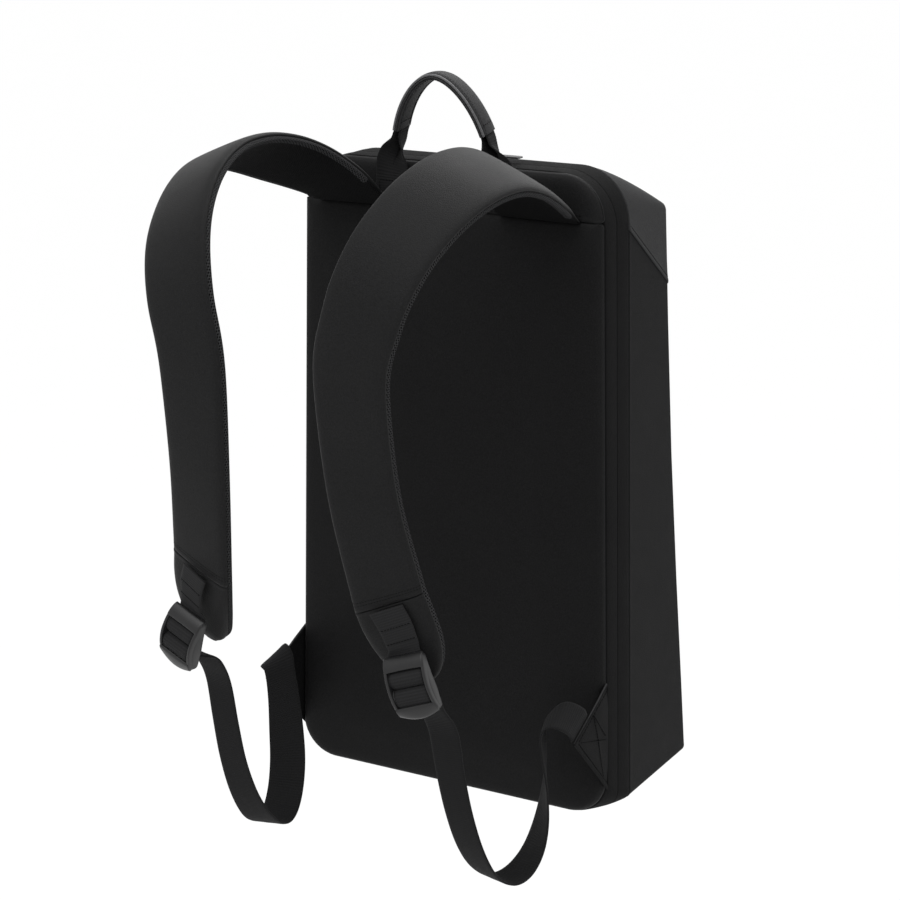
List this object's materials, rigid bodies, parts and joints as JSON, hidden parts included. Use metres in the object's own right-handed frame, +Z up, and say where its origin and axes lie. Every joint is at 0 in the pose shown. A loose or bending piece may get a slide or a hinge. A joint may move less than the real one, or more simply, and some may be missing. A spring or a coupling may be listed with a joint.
{
  "type": "laptop backpack",
  "caption": "Slim black laptop backpack with a padded back panel, curved padded shoulder straps, metal ladder locks on hanging webbing, a zipped gusset and an arched carry handle.",
  "frame": {"origin": "under the middle of the carry handle, where a hook or a hand holds it", "axes": "+Z up, +Y from the strap side to the front of the bag, +X to the right as seen from the strap side"},
  "size_m": [0.2614, 0.3789, 0.5464],
  "materials": {
    "panel_fabric": "matte fine-grained cloth",
    "yoke_fabric": "matte fine-grained cloth",
    "gusset_fabric": "matte fine-grained cloth",
    "shell_fabric": "matte fine-grained cloth",
    "zip_coil": "dull nylon coil",
    "strap_fabric": "matte fine-grained cloth",
    "spacer_mesh": "open knitted mesh",
    "webbing": "ribbed woven webbing",
    "tab_fabric": "matte fine-grained cloth",
    "grip_fabric": "matte fine-grained cloth",
    "lock_metal": "satin black",
    "slider_metal": "satin black"
  },
  "bodies": {
    "bag": {"back_panel": "panel_fabric", "yoke_panel": "yoke_fabric", "gusset_rear": "gusset_fabric", "gusset_front": "gusset_fabric", "zip_chain": "zip_coil", "front_shell_upper": "shell_fabric", "front_shell_lower": "shell_fabric", "strap_pad_left": "strap_fabric", "strap_pad_right": "strap_fabric", "strap_end_left": "strap_fabric", "strap_end_right": "strap_fabric", "strap_mesh_left": "spacer_mesh", "strap_mesh_right": "spacer_mesh", "ladder_lock_left": "lock_metal", "ladder_lock_right": "lock_metal", "lock_web_left": "webbing", "lock_web_right": "webbing", "webbing_loop_left": "webbing", "webbing_loop_right": "webbing", "corner_tab_left": "tab_fabric", "corner_tab_right": "tab_fabric", "handle_grip": "grip_fabric", "handle_web_left": "webbing", "handle_web_right": "webbing", "zip_slider": "slider_metal"},
    "puller": {"zip_puller": "slider_metal"}
  },
  "joints": [
    {"name": "puller_hinge", "type": "hinge", "parent": "bag", "child": "puller", "pos_m": [0.0158, 0.0359, -0.0549], "axis": [0, -1, 0], "range_deg": [0, 170]}
  ]
}
